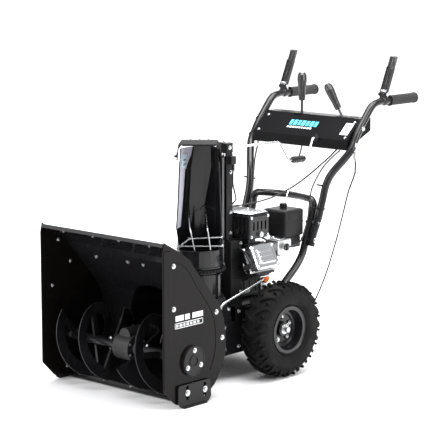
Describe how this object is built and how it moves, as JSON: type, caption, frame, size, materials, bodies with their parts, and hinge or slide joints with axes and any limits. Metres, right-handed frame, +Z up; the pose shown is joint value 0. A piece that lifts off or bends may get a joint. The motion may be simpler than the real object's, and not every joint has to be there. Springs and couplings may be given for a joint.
{
  "type": "two stage snowblower",
  "caption": "Walk-behind two-stage snowblower with front auger housing, turning discharge chute, engine, lugged wheels and rear handlebars with levers.",
  "frame": {"origin": "on the ground, under the middle of the bounding box", "axes": "-Y is forward, out of the auger mouth; +X is the operator's left; +Z is up"},
  "size_m": [0.599, 1.38, 1.0598],
  "materials": {
    "auger_housing": "gloss black powder coat",
    "side_plate": "gloss black powder coat, slightly warm",
    "scraper_bar": "satin black",
    "skid_shoe": "satin black, worn on the sole",
    "auger_bearing": "satin black",
    "auger_shaft": "bare steel",
    "auger_left": "gloss black",
    "auger_right": "gloss black",
    "auger_gearbox": "cast, painted black",
    "worm_wheel": "bronze",
    "impeller_shaft": "bare steel",
    "impeller": "gloss black",
    "impeller_bearing": "bare steel",
    "impeller_pulley": "cast",
    "engine_pulley": "turned",
    "drive_belt": "matt",
    "belt_cover": "textured",
    "discharge_chute": "gloss black powder coat",
    "chute_ring_gear": "moulded",
    "chute_guard_bars": "zinc plated wire",
    "chute_guard_loop": "zinc plated wire",
    "chute_deflector": "moulded",
    "chute_column": "satin black",
    "column_head": "moulded",
    "chute_drive_shaft": "bare steel",
    "chute_crank_rod": "zinc plated",
    "chute_crank_grip": "moulded",
    "chassis": "gloss black powder coat",
    "wheel_axle": "bare steel",
    "wheel_rim": "gloss black",
    "tyre": "lugged snow tread",
    "engine_block": "cast, painted black",
    "valve_cover": "bright plated",
    "muffler_cover": "heat resistant black",
    "air_box": "textured",
    "carburettor": "cast",
    "fuel_tank": "textured",
    "fuel_cap": "ribbed",
    "recoil_cover": "gloss black",
    "starter_handle": "moulded",
    "oil_filler_cap": "orange",
    "handle_hoop": "gloss black",
    "handle_tube": "gloss black",
    "grip": "moulded foam rubber",
    "clutch_lever": "moulded",
    "control_panel": "satin black",
    "speed_lever": "moulded knob",
    "deflector_lever": "moulded knob",
    "speed_rod": "zinc plated",
    "clutch_cable": "sheathed",
    "deflector_cable": "sheathed"
  },
  "bodies": {
    "frame": {"air_box": "air_box", "auger_bearing_left": "auger_bearing", "auger_bearing_right": "auger_bearing", "auger_gearbox": "auger_gearbox", "auger_housing": "auger_housing", "belt_cover": "belt_cover", "carburettor": "carburettor", "chassis": "chassis", "chute_column": "chute_column", "clutch_cable_left": "clutch_cable", "clutch_cable_right": "clutch_cable", "column_head": "column_head", "control_panel": "control_panel", "deflector_cable": "deflector_cable", "drive_belt": "drive_belt", "engine_block": "engine_block", "fuel_tank": "fuel_tank", "grip_left": "grip", "grip_right": "grip", "handle_hoop": "handle_hoop", "handle_tube_left": "handle_tube", "handle_tube_right": "handle_tube", "impeller_bearing": "impeller_bearing", "muffler_cover": "muffler_cover", "oil_filler_cap": "oil_filler_cap", "recoil_cover": "recoil_cover", "scraper_bar": "scraper_bar", "side_plate_left": "side_plate", "side_plate_right": "side_plate", "skid_shoe_left": "skid_shoe", "skid_shoe_right": "skid_shoe", "starter_handle": "starter_handle", "valve_cover": "valve_cover"},
    "auger": {"auger_shaft": "auger_shaft", "auger_left": "auger_left", "auger_right": "auger_right", "worm_wheel": "worm_wheel"},
    "impeller_group": {"impeller_shaft": "impeller_shaft", "impeller": "impeller", "impeller_pulley": "impeller_pulley"},
    "engine_output": {"engine_pulley": "engine_pulley"},
    "wheels": {"wheel_axle": "wheel_axle", "wheel_rim_left": "wheel_rim", "wheel_rim_right": "wheel_rim", "tyre_left": "tyre", "tyre_right": "tyre"},
    "chute": {"discharge_chute": "discharge_chute", "chute_ring_gear": "chute_ring_gear", "chute_guard_bars": "chute_guard_bars", "chute_guard_loop": "chute_guard_loop"},
    "deflector": {"chute_deflector": "chute_deflector"},
    "chute_drive": {"chute_drive_shaft": "chute_drive_shaft"},
    "crank": {"chute_crank_rod": "chute_crank_rod", "chute_crank_grip": "chute_crank_grip"},
    "clutch_left": {"clutch_lever_left": "clutch_lever"},
    "clutch_right": {"clutch_lever_right": "clutch_lever"},
    "speed_control": {"speed_lever": "speed_lever"},
    "shift_rod": {"speed_rod": "speed_rod"},
    "deflector_control": {"deflector_lever": "deflector_lever"},
    "tank_cap": {"fuel_cap": "fuel_cap"}
  },
  "joints": [
    {"name": "auger_spin", "type": "hinge", "parent": "frame", "child": "auger", "pos_m": [0, -0.56, 0.148], "axis": [1, 0, 0], "continuous": true},
    {"name": "impeller_spin", "type": "hinge", "parent": "frame", "child": "impeller_group", "pos_m": [0, -0.35, 0.19], "axis": [0, 1, 0], "continuous": true},
    {"name": "engine_spin", "type": "hinge", "parent": "frame", "child": "engine_output", "pos_m": [-0.01, -0.15, 0.335], "axis": [0, 1, 0], "continuous": true},
    {"name": "wheel_spin", "type": "hinge", "parent": "frame", "child": "wheels", "pos_m": [0, -0.07, 0.165], "axis": [1, 0, 0], "continuous": true},
    {"name": "chute_turn", "type": "hinge", "parent": "frame", "child": "chute", "pos_m": [0.05, -0.27, 0.38], "axis": [0, 0, 1], "range_deg": [-137, 53]},
    {"name": "deflector_tilt", "type": "hinge", "parent": "chute", "child": "deflector", "pos_m": [0.05, -0.27, 0.762], "axis": [0.7431, 0.6691, 0], "range_deg": [0, 45]},
    {"name": "chute_drive_spin", "type": "hinge", "parent": "frame", "child": "chute_drive", "pos_m": [0.064, -0.164, 0.6], "axis": [0, 0, 1], "range_deg": [-240, 618]},
    {"name": "crank_spin", "type": "hinge", "parent": "frame", "child": "crank", "pos_m": [0.056, -0.1427, 0.778], "axis": [0.0596, 0.9982, -0.0066], "range_deg": [-618, 240]},
    {"name": "clutch_left_press", "type": "hinge", "parent": "frame", "child": "clutch_left", "pos_m": [0.235, 0.5, 0.927], "axis": [1, 0, 0], "range_deg": [-62, 0], "stiffness_Nm_per_rad": 0.6},
    {"name": "clutch_right_press", "type": "hinge", "parent": "frame", "child": "clutch_right", "pos_m": [-0.235, 0.5, 0.927], "axis": [1, 0, 0], "range_deg": [-62, 0], "stiffness_Nm_per_rad": 0.6},
    {"name": "speed_shift", "type": "hinge", "parent": "frame", "child": "speed_control", "pos_m": [-0.07, 0.41, 0.8], "axis": [1, 0, 0], "range_deg": [-14, 14]},
    {"name": "shift_rod_slide", "type": "slide", "parent": "frame", "child": "shift_rod", "axis": [-0.2399, 0.662, 0.71], "range_m": [-0.009, 0.009]},
    {"name": "deflector_lever_swing", "type": "hinge", "parent": "frame", "child": "deflector_control", "pos_m": [0.148, 0.41, 0.8], "axis": [0, 1, 0], "range_deg": [0, 51]},
    {"name": "tank_cap_turn", "type": "hinge", "parent": "frame", "child": "tank_cap", "pos_m": [-0.06, -0.035, 0.56], "axis": [0, 0, 1], "range_deg": [0, 120]}
  ],
  "couplings": [
    {"joint": "impeller_spin", "follows": "auger_spin", "ratio": 10},
    {"joint": "engine_spin", "follows": "auger_spin", "ratio": 20},
    {"joint": "chute_drive_spin", "follows": "chute_turn", "ratio": -4.5},
    {"joint": "crank_spin", "follows": "chute_turn", "ratio": 4.5},
    {"joint": "deflector_lever_swing", "follows": "deflector_tilt", "ratio": 1.1111},
    {"joint": "shift_rod_slide", "follows": "speed_shift", "m_per_rad": 0.036}
  ]
}
